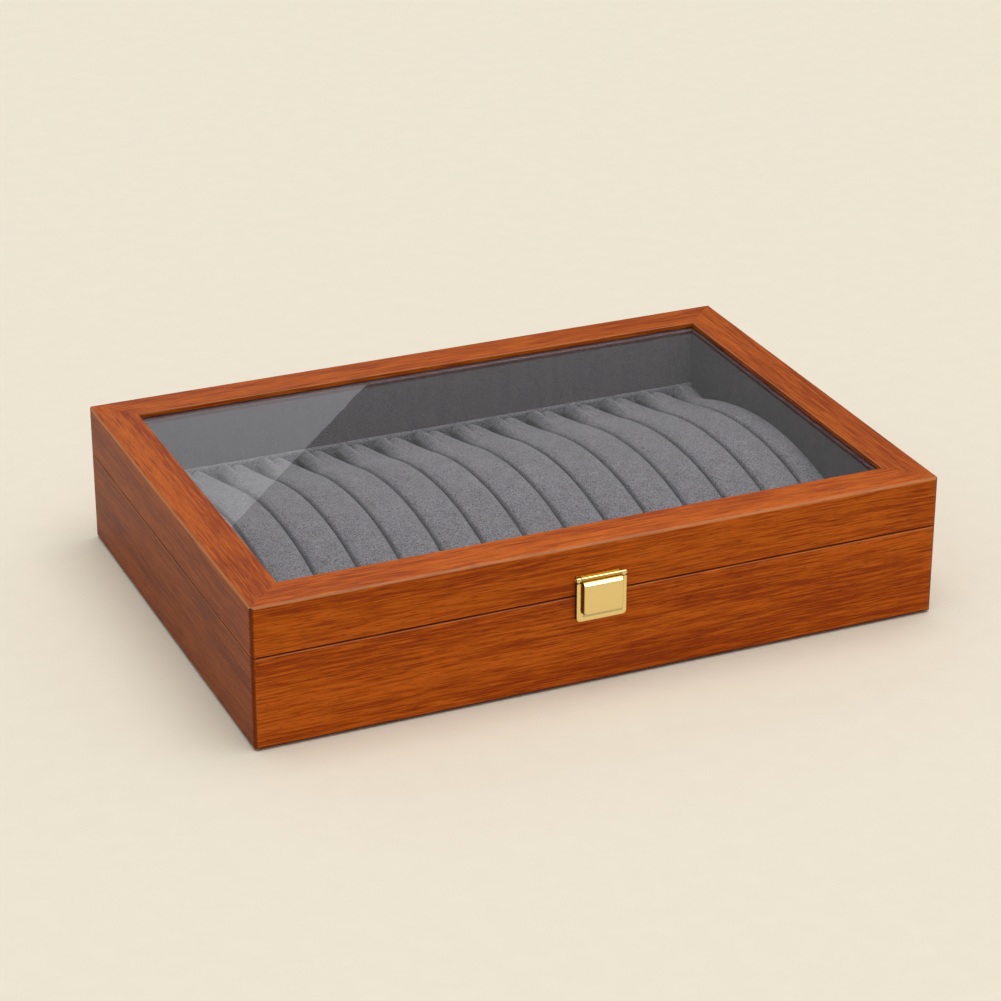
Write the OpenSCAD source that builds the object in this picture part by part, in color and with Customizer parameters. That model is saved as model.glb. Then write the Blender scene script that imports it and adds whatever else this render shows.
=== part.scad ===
// Ring display box: a mitred wooden case with a glazed, hinged lid, a suede liner
// and a cushion of arched rolls with ring slits between them.
// Millimetres. +X is to the right, +Y to the back, +Z up. The origin is on the
// table, under the middle of the case.

/* [Case] */
// Outer width, left to right
case_w = 350; // [300:1:420]
// Outer depth, front to back
case_d = 245; // [200:1:300]
// Overall height with the lid shut
case_h = 73; // [70:0.5:90]
// Thickness of the wooden walls
wall_t = 12; // [11:0.5:14]
// Height of the parting line above the table
seam_h = 47; // [44:0.5:50]
// Gap between base and lid at the parting line
seam_gap = 0.5; // [0.3:0.1:0.8]
// Rounding of the lid's outer top edge
top_edge_r = 2; // [1:0.25:3]
// Rounding of the upright corners
corner_r = 2.5; // [1:0.25:4]
// Rounding of the base's lower edge
foot_edge_r = 1.2; // [0.5:0.1:2]
// Rounding on both sides of the parting line
seam_edge_r = 0.6; // [0.3:0.1:1]

/* [Bottom] */
// Thickness of the bottom board
bottom_t = 5; // [3:0.5:6]
// How far the bottom board runs in under the walls
bottom_rebate = 3; // [2:0.5:5]
// Thickness of the felt under the box
felt_t = 1; // [0.5:0.25:2]
// How far the felt stays back from the outer edge
felt_inset = 4; // [2:0.5:8]

/* [Lid frame and glass] */
// Width of the lid's frame round the glass, seen from above
frame_w = 20; // [17:0.5:24]
// Thickness of the frame's lip over the glass
lip_t = 2.5; // [2:0.25:4]
// Rounding of the lip's inner edge
lip_edge_r = 0.8; // [0.4:0.1:1.2]
// Thickness of the glass
glass_t = 3; // [2:0.5:4]
// Room round the edge of the glass
glass_room = 0.4; // [0.2:0.1:0.8]
// Thickness of the covered strips inside the lid
lid_lining_t = 1.6; // [1:0.1:1.8]

/* [Liner] */
// Thickness of the liner boards inside the base
liner_t = 9; // [8:0.5:12]
// Depth of the step that lets the lid come down outside the liner
liner_step = 3; // [2.8:0.1:3.5]
// Room between the liner's top edge and the glass
liner_room = 0.3; // [0.2:0.1:1]
// Rounding of the liner's covered top edge
liner_edge_r = 1.4; // [0.8:0.1:2]

/* [Ring cushion] */
// Thickness of the board under the rolls
cushion_board_t = 3; // [2:0.5:5]
// Room round the cushion inside the liner
cushion_room = 0.3; // [0.2:0.1:1]
// Spacing of the ring slits, middle to middle
slit_pitch = 21.5; // [18:0.5:26]
// Width of a ring slit
slit_w = 0.6; // [0.5:0.1:1.2]
// Least width of the two end rolls
edge_roll_min = 10; // [8:0.5:12]
// Height of the rolls' crest above the table
crest_h = 53.5; // [48:0.5:56]
// Drop of the rolls' arch from the crest to their ends
arch_drop = 24; // [16:0.5:28]
// Rise of the gathered ends out of the arch, towards the end strips
end_rise = 7.5; // [4:0.25:9]
// Height of the two end strips above the table
strip_h = 37.3; // [34:0.1:42]
// Thickness of the two end strips
strip_t = 3; // [2:0.25:4]
// Drop of a roll's shoulder below its crest
shoulder = 3.2; // [2:0.2:4]
// How much each side of a roll is drawn in at its foot
side_draw = 1.2; // [0.5:0.1:2]
// Length of the gathered stretch at each end of a roll
gather_len = 22; // [14:1:30]
// How much the left side is drawn in at the gathered end
gather_left = 4.5; // [2:0.25:6]
// How much the right side is drawn in at the gathered end
gather_right = 2.5; // [1:0.25:4]
// Rise of the ridge left of the fold in the gathered end
gather_ridge = 1.5; // [0.5:0.25:3]
// Depth of the fold in the gathered end
gather_fold = 4.5; // [2:0.5:6]
// Drop of the rounded tip right of the fold
tip_drop = 3; // [1:0.5:5]

/* [Hinges] */
// Distance of each hinge's middle from the middle of the case
hinge_x = 105; // [80:1:120]
// Length of a hinge
hinge_len = 30; // [25:1:40]
// Radius of a hinge knuckle
knuckle_r = 2.2; // [2:0.1:3]
// Radius of a hinge pin
hinge_pin_r = 1; // [0.8:0.1:1.2]
// Thickness of a hinge leaf
leaf_t = 1.2; // [1:0.1:1.6]
// How far a leaf is let into the wood
leaf_in = 9; // [8:0.5:10]
// Room between the knuckles and the back of the case
knuckle_room = 0.4; // [0.3:0.1:0.8]
// Room between neighbouring knuckles
knuckle_gap = 0.2; // [0.1:0.05:0.4]
// Distance of the hinge screws from the hinge's middle
hinge_screw_dx = 9; // [6:0.5:11]

/* [Clasp] */
// Sideways place of the clasp from the middle of the front
clasp_x = -4.5; // [-20:0.5:20]
// Width of the flap
flap_w = 25.5; // [22:0.5:30]
// How far the flap hangs below the parting line
flap_drop = 12.6; // [10:0.2:14]
// Height of the clasp's pin above the parting line
clasp_pin_rise = 8.7; // [8:0.1:11]
// Radius of the clasp's knuckles
clasp_knuckle_r = 1.2; // [1.1:0.1:1.5]
// Radius of the clasp's pin
clasp_pin_r = 0.6; // [0.5:0.1:0.7]
// Length of each of the flap's two knuckles
clasp_ear_w = 2.5; // [2:0.25:4]
// How far the flap's rim stands out from the wood
rim_out = 2.5; // [2.4:0.1:3]
// Width of the flap's rim round the raised panel
rim_w = 2.25; // [2:0.25:3.5]
// Thickness of the flap's metal
flap_t = 0.8; // [0.6:0.1:1]
// How far the panel stands out from the rim
panel_out = 1.7; // [1:0.1:2]
// Rounding of the flap's lower corners
flap_corner_r = 2; // [1:0.25:3]
// Thickness of the two plates behind the flap
plate_t = 0.8; // [0.6:0.1:0.9]
// Height of the upper plate's top edge above the clasp's pin
plate_rise = 1.9; // [1.8:0.1:2.5]
// How far the upper plate's top edge sits to the left of the flap
plate_shift = 1.6; // [0:0.1:2]
// Height of the catch on the keeper plate
catch_out = 0.4; // [0.2:0.1:0.5]

/* [Screws and fits] */
// Shank radius of the hinge screws
hinge_screw_r = 0.9; // [0.8:0.05:1]
// Length of the hinge screws
hinge_screw_len = 10; // [8:0.5:12]
// Shank radius of the clasp screws
clasp_screw_r = 0.7; // [0.6:0.05:0.8]
// Length of the clasp screws
clasp_screw_len = 8; // [6:0.5:9]
// Running clearance of the pins in their knuckles
run_room = 0.05; // [0.03:0.01:0.08]
// Clearance round screws in the wood and plates
screw_room = 0.05; // [0.02:0.01:0.1]
// Clearance of a let-in piece in its recess
let_in_room = 0.1; // [0.05:0.05:0.3]
// Least clearance between moving faces
swing_room = 0.3; // [0.2:0.05:0.5]

/* [Hidden] */
$fn = 48;
cut = 1;

wood_z = felt_t;
base_top = seam_h - seam_gap / 2;
lid_low = seam_h + seam_gap / 2;
floor_z = wood_z + bottom_t;
glass_top = case_h - lip_t;
glass_low = glass_top - glass_t;
liner_top = glass_low - liner_room;
inner_inset = wall_t + liner_t;
inner_w = case_w - 2 * inner_inset;
inner_d = case_d - 2 * inner_inset;
front_y = -case_d / 2;
back_y = case_d / 2;

board_top = floor_z + cushion_board_t;
slit_count = floor((inner_w - 2 * edge_roll_min) / slit_pitch) + 1;
roll_count = slit_count - 1;
edge_roll_w = (inner_w - roll_count * slit_pitch) / 2;
strip_y = inner_d / 2 - cushion_room - strip_t;
roll_half = strip_y - cushion_room;
arch_r = (roll_half * roll_half + arch_drop * arch_drop) / (2 * arch_drop);
roll_bays = 14;
top_steps = 10;
ring_points = top_steps + 3;
fold_place = 0;
fold_spread = 0.22;
ridge_place = -0.58;
ridge_spread = 0.2;
crown = 0.5;

pin_y = back_y + knuckle_r + knuckle_room;
leaf_reach = leaf_in + knuckle_r + knuckle_room;
knuckle_count = 5;
knuckle_w = hinge_len / knuckle_count;
hinge_screw_y = -(knuckle_r + knuckle_room + leaf_in / 2);
screw_head_r = 2.1;
leaf_sink = 1;

clasp_pin_z = seam_h + clasp_pin_rise;
clasp_pin_y = front_y - clasp_knuckle_r - let_in_room;
flap_low = seam_h - flap_drop;
flap_top = clasp_pin_z - clasp_knuckle_r - swing_room;
rim_y = front_y - rim_out;
skin_y = rim_y + flap_t;
barrel_half = flap_w / 2 - clasp_ear_w - swing_room / 2;
plate_half = flap_w / 2 - flap_t - swing_room;
plate_low = seam_h + 1;
plate_top = clasp_pin_z + plate_rise;
plate_edge_half = flap_w / 2 - plate_shift - swing_room;
keeper_top = seam_h - 1;
keeper_low = flap_low + 3;
keeper_half = plate_half - 1.5;
panel_half = flap_w / 2 - rim_w;
panel_low = flap_low + rim_w + 1;
panel_bevel = 1.2;
clasp_screw_dx = 6;
clasp_head_r = 1.6;
plate_screw_z = (plate_low + flap_top) / 2;
keeper_screw_z = (keeper_low + keeper_top) / 2;
catch_half = 3;
catch_h = 3;

wood_colour = "#A8521F";
suede_colour = "#77757A";
brass_colour = "#D9B765";

function two_digits(i) = i < 10 ? str("0", i) : str(i);
function roll_name(i) = str("ring_roll_", two_digits(i));

// Plane corner to cut away, so that a square corner at the origin becomes round
module corner_cut(r) {
    difference() {
        translate([-cut, -cut]) square(r + cut);
        translate([r, r]) circle(r);
    }
}

// One mitred side of a four-sided frame, as the front one. The child is its
// section: x runs inwards from the case's outer face and y is the height.
module mitred_side(run, off, deep) {
    intersection() {
        translate([-run / 2, -off, 0]) rotate([90, 0, 90]) linear_extrude(run) children();
        linear_extrude(case_h + cut)
            polygon([
                [-run / 2, -off], [run / 2, -off],
                [run / 2 - deep, deep - off], [deep - run / 2, deep - off]
            ]);
    }
}

module front_side(deep) { mitred_side(case_w, case_d / 2, deep) children(); }
module back_side(deep) { rotate(180) mitred_side(case_w, case_d / 2, deep) children(); }
module right_side(deep) { rotate(90) mitred_side(case_d, case_w / 2, deep) children(); }
module left_side(deep) { rotate(-90) mitred_side(case_d, case_w / 2, deep) children(); }

// The case's outline with rounded upright corners, for trimming the walls
module case_outline() {
    across = case_w - 2 * corner_r;
    along = case_d - 2 * corner_r;
    linear_extrude(case_h + cut) union() {
        square([across, case_d], center = true);
        square([case_w, along], center = true);
        for (sx = [-1, 1], sy = [-1, 1])
            translate([sx * across / 2, sy * along / 2]) circle(corner_r);
    }
}

// Wood screw along -Z with its head flush at the origin and a cross recess in it
module wood_screw(shank_r, head_r, head_h, len) {
    tip = 2 * shank_r;
    cross_w = shank_r / 2;
    cross_deep = head_h / 2;
    difference() {
        rotate_extrude() polygon([
            [0, 0], [head_r, 0], [shank_r, -head_h], [shank_r, tip - len], [shank_r / 4, -len], [0, -len]
        ]);
        for (turn = [0, 90])
            rotate(turn) translate([-shank_r, -cross_w / 2, -cross_deep])
                cube([2 * shank_r, cross_w, cross_deep + cut]);
    }
}

// The hole that the screw needs in a plate, with room for its head
module screw_hole(shank_r, head_r, head_h) {
    translate([0, 0, -head_h]) cylinder(r1 = shank_r + screw_room, r2 = head_r + screw_room, h = head_h);
    translate([0, 0, -head_h - cut]) cylinder(r = shank_r + screw_room, h = head_h + cut);
    cylinder(r = head_r + screw_room, h = cut);
}

// The hole that the screw needs in the wood behind the plate
module pilot_hole(shank_r, len) {
    translate([0, 0, -len - screw_room]) cylinder(r = shank_r + screw_room, h = len + screw_room + cut);
}

// Places for the screws: heads face up in the base's leaves and down in the lid's
module at_hinge_screws(side, up) {
    for (dx = [-1, 1])
        translate([side * hinge_x + dx * hinge_screw_dx, pin_y + hinge_screw_y, seam_h + up * seam_gap / 2])
            rotate([up > 0 ? 180 : 0, 0, 0]) children();
}

module at_clasp_screws(z, off) {
    for (dx = [-1, 1])
        translate([clasp_x + dx * clasp_screw_dx, front_y - off, z]) rotate([90, 0, 0]) children();
}

// Recess and pilot holes for both hinges, cut into the back wall or the back rail
module hinge_recesses(up) {
    low = up > 0 ? lid_low - cut : base_top - leaf_t;
    for (side = [-1, 1]) {
        translate([side * hinge_x - hinge_len / 2 - let_in_room, back_y - leaf_in - let_in_room, low])
            cube([hinge_len + 2 * let_in_room, leaf_in + let_in_room + cut, leaf_t + cut]);
        at_hinge_screws(side, up) pilot_hole(hinge_screw_r, hinge_screw_len);
    }
}

// Section of a base wall
module base_section() {
    difference() {
        translate([0, wood_z]) square([wall_t, base_top - wood_z]);
        translate([wall_t - bottom_rebate, wood_z - cut]) square([bottom_rebate + cut, bottom_t + cut]);
        translate([0, wood_z]) corner_cut(foot_edge_r);
        translate([0, base_top]) mirror([0, 1]) corner_cut(seam_edge_r);
    }
}

module base_front() {
    color(wood_colour) difference() {
        intersection() {
            front_side(wall_t) base_section();
            case_outline();
        }
        at_clasp_screws(keeper_screw_z, 0) pilot_hole(clasp_screw_r, clasp_screw_len - plate_t);
    }
}

module base_back() {
    color(wood_colour) difference() {
        intersection() {
            back_side(wall_t) base_section();
            case_outline();
        }
        hinge_recesses(-1);
    }
}

module base_left() {
    color(wood_colour) intersection() {
        left_side(wall_t) base_section();
        case_outline();
    }
}

module base_right() {
    color(wood_colour) intersection() {
        right_side(wall_t) base_section();
        case_outline();
    }
}

module base_bottom() {
    inset = wall_t - bottom_rebate + let_in_room;
    color("#B98A5A") translate([0, 0, wood_z + bottom_t / 2])
        cube([case_w - 2 * inset, case_d - 2 * inset, bottom_t], center = true);
}

module base_felt() {
    color("#3A3A3E") translate([0, 0, felt_t / 2])
        cube([case_w - 2 * felt_inset, case_d - 2 * felt_inset, felt_t], center = true);
}

// Section of a liner board, stepped outside above the parting line
module liner_section() {
    difference() {
        translate([wall_t, floor_z]) square([liner_t, liner_top - floor_z]);
        translate([wall_t - cut, base_top]) square([liner_step + cut, liner_top - base_top + cut]);
        translate([inner_inset, liner_top]) rotate(180) corner_cut(liner_edge_r);
        translate([wall_t + liner_step, liner_top]) mirror([0, 1]) corner_cut(liner_edge_r);
    }
}

module liner_front() { color(suede_colour) front_side(inner_inset) liner_section(); }
module liner_back() { color(suede_colour) back_side(inner_inset) liner_section(); }
module liner_left() { color(suede_colour) left_side(inner_inset) liner_section(); }
module liner_right() { color(suede_colour) right_side(inner_inset) liner_section(); }

module cushion_board() {
    color(suede_colour) translate([0, 0, floor_z + cushion_board_t / 2])
        cube([inner_w - 2 * cushion_room, inner_d - 2 * cushion_room, cushion_board_t], center = true);
}

// Thin covered strip at one end of the rolls
module end_strip(way) {
    strip_r = strip_t / 2;
    low = board_top;
    color(suede_colour) translate([0, way * (strip_y + strip_r), 0]) {
        translate([cushion_room - inner_w / 2, -strip_r, low])
            cube([inner_w - 2 * cushion_room, strip_t, strip_h - strip_r - low]);
        translate([0, 0, strip_h - strip_r]) rotate([0, 90, 0])
            cylinder(r = strip_r, h = inner_w - 2 * cushion_room, center = true);
    }
}

// A roll's shape. Along the case it is an arch. Across it has round shoulders and
// sides that draw in towards the board. Each end is gathered: the sides come in, a
// ridge and a fold run back from the tip, and the part right of the fold is a
// rounded tip. Across the roll, u goes from -1 on the left to 1 on the right.
function station(j) = roll_half * sin(180 * j / roll_bays - 90);
function arch(y) = crest_h - arch_r + sqrt(arch_r * arch_r - y * y);
function ease(t) = t * t * (3 - 2 * t);
function gathered(y) = ease(max(0, (abs(y) - roll_half + gather_len) / gather_len));
function bell(t) = exp(-t * t);
function shoulder_drop(u) = shoulder * (1 - sqrt(1 - pow(u, 4))) + crown * u * u;
function end_form(u) = end_rise + gather_ridge * bell((u - ridge_place) / ridge_spread)
    - gather_fold * bell((u - fold_place) / fold_spread);
function tip(u, y) = u > fold_place ? tip_drop * pow(gathered(y), 4) : 0;
function top_z(u, y) = arch(y) - shoulder_drop(u) + gathered(y) * end_form(u) - tip(u, y);
function draw_in(u) = -u * (u < 0 ? gather_left : gather_right);
function top_x(u, w, y) = u * w / 2 + min(1, w / slit_pitch) * gathered(y) * draw_in(u);
function ring(w, y) = concat(
    [[side_draw - w / 2, y, board_top]],
    [for (k = [0:top_steps]) let (u = -cos(180 * k / top_steps)) [top_x(u, w, y), y, top_z(u, y)]],
    [[w / 2 - side_draw, y, board_top]]
);

module roll_form(w) {
    n = ring_points;
    last = roll_bays * n;
    points = [for (j = [0:roll_bays]) each ring(w, station(j))];
    skin = [
        for (j = [0:roll_bays - 1], k = [0:n - 1])
            let (a = j * n + k, b = j * n + (k + 1) % n, c = b + n, d = a + n)
                each [[a, d, c], [a, c, b]]
    ];
    near_end = [for (k = [1:n - 2]) [0, k, k + 1]];
    far_end = [for (k = [1:n - 2]) [last, last + k + 1, last + k]];
    polyhedron(points, concat(skin, near_end, far_end));
}

module ring_roll(i) {
    across = (i - (roll_count + 1) / 2) * slit_pitch;
    color(suede_colour) translate([across, 0, 0]) roll_form(slit_pitch - slit_w);
}

module edge_roll(way) {
    w = edge_roll_w - slit_w / 2 - cushion_room;
    color(suede_colour) translate([way * (inner_w / 2 - cushion_room - w / 2), 0, 0]) roll_form(w);
}

// One knuckle of a hinge, counted from the left
module knuckle(i, r, spare) {
    translate([(i + 0.5) * knuckle_w - hinge_len / 2, 0, 0]) rotate([0, 90, 0])
        cylinder(r = r, h = knuckle_w + spare, center = true);
}

// A hinge leaf round its pin axis: up is 1 for the lid's leaf and -1 for the base's
module hinge_leaf(up) {
    own = up > 0 ? [1, 3] : [0, 2, 4];
    other = up > 0 ? [0, 2, 4] : [1, 3];
    difference() {
        union() {
            translate([-hinge_len / 2, -leaf_reach, up > 0 ? seam_gap / 2 : -seam_gap / 2 - leaf_t])
                cube([hinge_len, leaf_reach, leaf_t]);
            for (i = own) knuckle(i, knuckle_r, -knuckle_gap);
        }
        for (i = other) knuckle(i, knuckle_r + knuckle_gap, knuckle_gap / 2);
        rotate([0, 90, 0]) cylinder(r = hinge_pin_r + run_room, h = hinge_len + cut, center = true);
    }
}

module placed_leaf(side, up) {
    color(brass_colour) difference() {
        translate([side * hinge_x, pin_y, seam_h]) hinge_leaf(up);
        at_hinge_screws(side, up) screw_hole(hinge_screw_r, screw_head_r, leaf_sink);
    }
}

module hinge_pin(side) {
    color(brass_colour) translate([side * hinge_x, pin_y, seam_h]) rotate([0, 90, 0])
        cylinder(r = hinge_pin_r, h = hinge_len, center = true);
}

module hinge_screws(up) {
    color(brass_colour) for (side = [-1, 1])
        at_hinge_screws(side, up) wood_screw(hinge_screw_r, screw_head_r, leaf_sink, hinge_screw_len);
}

// Section of a lid rail: the wall, and the lip that reaches in over the glass
module lid_section() {
    difference() {
        union() {
            translate([0, lid_low]) square([wall_t, case_h - lid_low]);
            translate([0, glass_top]) square([frame_w, lip_t]);
        }
        translate([0, case_h]) mirror([0, 1]) corner_cut(top_edge_r);
        translate([0, lid_low]) corner_cut(seam_edge_r);
        translate([frame_w, case_h]) rotate(180) corner_cut(lip_edge_r);
    }
}

module lid_front() {
    color(wood_colour) difference() {
        intersection() {
            front_side(frame_w) lid_section();
            case_outline();
        }
        at_clasp_screws(plate_screw_z, 0) pilot_hole(clasp_screw_r, clasp_screw_len - plate_t);
    }
}

module lid_back() {
    color(wood_colour) difference() {
        intersection() {
            back_side(frame_w) lid_section();
            case_outline();
        }
        hinge_recesses(1);
    }
}

module lid_left() {
    color(wood_colour) intersection() {
        left_side(frame_w) lid_section();
        case_outline();
    }
}

module lid_right() {
    color(wood_colour) intersection() {
        right_side(frame_w) lid_section();
        case_outline();
    }
}

module glass_pane() {
    inset = wall_t + glass_room;
    color("#C9D6D8", 0.35) translate([0, 0, glass_low + glass_t / 2])
        cube([case_w - 2 * inset, case_d - 2 * inset, glass_t], center = true);
}

// Section of a covered strip inside the lid, which holds the glass up
module lid_lining_section() {
    translate([wall_t, lid_low]) square([lid_lining_t, glass_low - lid_low]);
}

module lid_lining_front() { color(suede_colour) front_side(frame_w) lid_lining_section(); }
module lid_lining_back() { color(suede_colour) back_side(frame_w) lid_lining_section(); }
module lid_lining_left() { color(suede_colour) left_side(frame_w) lid_lining_section(); }
module lid_lining_right() { color(suede_colour) right_side(frame_w) lid_lining_section(); }

// Round bar along X at the clasp's pin
module clasp_bar(r, half) {
    translate([clasp_x, clasp_pin_y, clasp_pin_z]) rotate([0, 90, 0])
        cylinder(r = r, h = 2 * half, center = true);
}

// Flat piece of the clasp, given by its half width, its two heights and its two depths
module clasp_slab(half, low, high, y_out, y_in) {
    translate([clasp_x - half, y_out, low]) cube([2 * half, y_in - y_out, high - low]);
}

// Room that the flap's two knuckles need to turn in
module ear_room() {
    difference() {
        clasp_bar(clasp_knuckle_r + swing_room, flap_w / 2 + cut);
        clasp_bar(clasp_knuckle_r + swing_room + cut, barrel_half);
    }
}

// Upper plate of the clasp, with the middle knuckle on it
module clasp_plate() {
    color(brass_colour) difference() {
        union() {
            clasp_slab(plate_half, plate_low, clasp_pin_z, front_y - plate_t, front_y);
            translate([-plate_shift, 0, 0])
                clasp_slab(plate_edge_half, clasp_pin_z - clasp_pin_r, plate_top, front_y - plate_t, front_y);
            clasp_bar(clasp_knuckle_r, barrel_half);
        }
        ear_room();
        clasp_bar(clasp_pin_r + run_room, flap_w);
        at_clasp_screws(plate_screw_z, plate_t) screw_hole(clasp_screw_r, clasp_head_r, plate_t);
    }
}

module clasp_pin() {
    color(brass_colour) clasp_bar(clasp_pin_r, flap_w / 2);
}

module clasp_keeper() {
    color(brass_colour) difference() {
        union() {
            clasp_slab(keeper_half, keeper_low, keeper_top, front_y - plate_t, front_y);
            clasp_slab(catch_half, keeper_screw_z - catch_h / 2, keeper_screw_z + catch_h / 2,
                front_y - plate_t - catch_out, front_y);
        }
        at_clasp_screws(keeper_screw_z, plate_t) screw_hole(clasp_screw_r, clasp_head_r, plate_t);
    }
}

module clasp_screws(z) {
    color(brass_colour) at_clasp_screws(z, plate_t)
        wood_screw(clasp_screw_r, clasp_head_r, plate_t, clasp_screw_len);
}

// The flap's outline seen from the front, with rounded lower corners
module flap_outline(half, low, high, r) {
    union() {
        translate([-half, low + r]) square([2 * half, high - low - r]);
        translate([r - half, low]) square([2 * (half - r), 2 * r]);
        for (sx = [-1, 1]) translate([sx * (half - r), low + r]) circle(r);
    }
}

// Stands an outline up at the front of the case, y_out outermost
module stand_up(y_out, y_in) {
    translate([clasp_x, y_in, 0]) rotate([90, 0, 0]) linear_extrude(y_in - y_out) children();
}

// Raised panel as a stack of plates, each smaller than the one behind it
module panel(out, spare) {
    steps = 4;
    for (i = [0:steps - 1]) {
        turn = 90 * i / (steps - 1);
        inset = panel_bevel * (1 - cos(turn)) + spare;
        reach = out - panel_bevel * (1 - sin(turn));
        stand_up(rim_y - reach, skin_y + cut)
            flap_outline(panel_half - inset, panel_low + inset, flap_top - inset, flap_corner_r / 2);
    }
}

module clasp_flap() {
    side_low = flap_low + flap_corner_r;
    side_top = clasp_pin_z - clasp_pin_r;
    color(brass_colour) difference() {
        union() {
            stand_up(rim_y, skin_y) flap_outline(flap_w / 2, flap_low, flap_top, flap_corner_r);
            for (sx = [-1, 1]) {
                translate([sx * (flap_w - flap_t) / 2, 0, 0])
                    clasp_slab(flap_t / 2, side_low, side_top, rim_y, front_y - swing_room);
                translate([sx * (flap_w - clasp_ear_w) / 2, 0, 0]) {
                    clasp_slab(clasp_ear_w / 2, flap_top - swing_room, side_top, rim_y, skin_y);
                    clasp_bar(clasp_knuckle_r, clasp_ear_w / 2);
                }
            }
            intersection() {
                panel(panel_out, 0);
                clasp_slab(flap_w, 0, case_h, rim_y - panel_out, skin_y);
            }
        }
        clasp_bar(clasp_pin_r + run_room, flap_w);
        stand_up(rim_y - panel_out + flap_t, skin_y + cut)
            flap_outline(panel_half - panel_bevel - flap_t, panel_low + panel_bevel + flap_t,
                flap_top - panel_bevel - flap_t, flap_corner_r / 2);
    }
}

base_front();
base_back();
base_left();
base_right();
base_bottom();
base_felt();
liner_front();
liner_back();
liner_left();
liner_right();
cushion_board();
end_strip(1);  // cushion_back_strip
end_strip(-1);  // cushion_front_strip
for (i = [1:roll_count])
    ring_roll(i);
edge_roll(-1);  // edge_roll_left
edge_roll(1);  // edge_roll_right
placed_leaf(-1, -1);  // hinge_left_base_leaf
placed_leaf(1, -1);  // hinge_right_base_leaf
hinge_pin(-1);  // hinge_left_pin
hinge_pin(1);  // hinge_right_pin
hinge_screws(-1);  // hinge_base_screws
clasp_keeper();
clasp_screws(keeper_screw_z);  // clasp_keeper_screws
lid_front();
lid_back();
lid_left();
lid_right();
glass_pane();
lid_lining_front();
lid_lining_back();
lid_lining_left();
lid_lining_right();
placed_leaf(-1, 1);  // hinge_left_lid_leaf
placed_leaf(1, 1);  // hinge_right_lid_leaf
hinge_screws(1);  // hinge_lid_screws
clasp_plate();
clasp_pin();
clasp_screws(plate_screw_z);  // clasp_plate_screws
clasp_flap();
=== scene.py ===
# %% [markdown]
# # Ring display box
# A stained wooden box with a glass lid, a suede liner and a cushion of arched ring rolls.
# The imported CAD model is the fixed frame: it gives every piece its place and size. This
# lesson dresses it. Hard pieces keep their CAD mesh and get a finish, and the soft rolls
# and the pressed clasp are modelled anew in the space that their solids hold.
# Everything is in metres. +X is to the right, +Y to the back, +Z up.

# %% Load the frame
import math

import bpy
import numpy as np
from mathutils import Euler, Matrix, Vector, noise


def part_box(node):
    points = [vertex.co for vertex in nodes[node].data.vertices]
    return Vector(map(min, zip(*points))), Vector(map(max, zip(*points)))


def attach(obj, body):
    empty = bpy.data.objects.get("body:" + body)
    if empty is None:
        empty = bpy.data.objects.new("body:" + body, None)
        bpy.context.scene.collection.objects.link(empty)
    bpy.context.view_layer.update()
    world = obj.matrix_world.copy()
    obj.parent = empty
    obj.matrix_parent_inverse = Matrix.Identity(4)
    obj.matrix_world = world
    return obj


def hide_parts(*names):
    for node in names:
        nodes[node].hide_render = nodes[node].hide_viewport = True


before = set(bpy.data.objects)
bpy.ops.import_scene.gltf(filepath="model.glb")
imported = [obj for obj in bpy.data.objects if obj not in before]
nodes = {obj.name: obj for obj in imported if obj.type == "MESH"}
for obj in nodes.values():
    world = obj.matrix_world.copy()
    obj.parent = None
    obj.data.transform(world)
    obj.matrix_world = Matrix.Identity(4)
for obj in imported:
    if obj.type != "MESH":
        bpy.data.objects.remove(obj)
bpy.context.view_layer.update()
MM = 0.001

# %% [markdown]
# ## Colours and nodes
# Colours are picked as sRGB hex values, the way a paint chart or a web page gives them.
# Cycles computes with linear light, so one function turns the one into the other.
# A second function adds a shader node: it takes the node's settings as keywords, and its
# inputs as pairs of a socket and either a value or the output that feeds it.


# %% Two helpers for materials
def linear(hex_colour):
    parts = [int(hex_colour[i:i + 2], 16) / 255 for i in (1, 3, 5)]
    return [c / 12.92 if c <= 0.04045 else ((c + 0.055) / 1.055) ** 2.4 for c in parts] + [1.0]


def add_node(tree, kind, inputs=(), **settings):
    node = tree.nodes.new(kind)
    for name, value in settings.items():
        setattr(node, name, value)
    for socket, value in inputs:
        if isinstance(value, bpy.types.NodeSocket):
            tree.links.new(value, node.inputs[socket])
        else:
            node.inputs[socket].default_value = value
    return node


def new_finish(name):
    finish = bpy.data.materials.new(name)
    finish.use_nodes = True
    finish.node_tree.nodes.clear()
    return finish, finish.node_tree


def set_ramp(node, stops):
    ramp = node.color_ramp
    while len(ramp.elements) < len(stops):
        ramp.elements.new(0.5)
    for element, (place, colour) in zip(ramp.elements, stops):
        element.position = place
        element.color = linear(colour)
    return node.outputs["Color"]


print("floor colour in linear light:", [round(c, 3) for c in linear("#ECE4D3")[:3]])

# %% [markdown]
# ## Camera
# The photograph was taken from the front left and above, from about a metre and a half.
# The long lens keeps the edges nearly parallel. Its place and focal length were solved
# from the box's corners, so the render can be laid over the photograph.

# %% Place the camera
CAMERA_PLACE = (-0.5679, -1.3081, 0.7076)
CAMERA_TURN, CAMERA_TILT = -23.41, 25.08
SENSOR_WIDE, FOCAL_LENGTH = 36, 114.0
NEAR_LIMIT = 0.05
camera_data = bpy.data.cameras.new("product_camera")
camera_data.sensor_width = SENSOR_WIDE
camera_data.lens = FOCAL_LENGTH
camera_data.clip_start = NEAR_LIMIT
camera = bpy.data.objects.new("product_camera", camera_data)
camera.location = CAMERA_PLACE
camera.rotation_euler = Euler((math.radians(90 - CAMERA_TILT), 0, math.radians(CAMERA_TURN)))
bpy.context.scene.collection.objects.link(camera)
bpy.context.scene.camera = camera
bpy.context.scene.view_settings.view_transform = "Standard"
print("camera distance:", round(Vector(CAMERA_PLACE).length, 3), "m")

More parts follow.
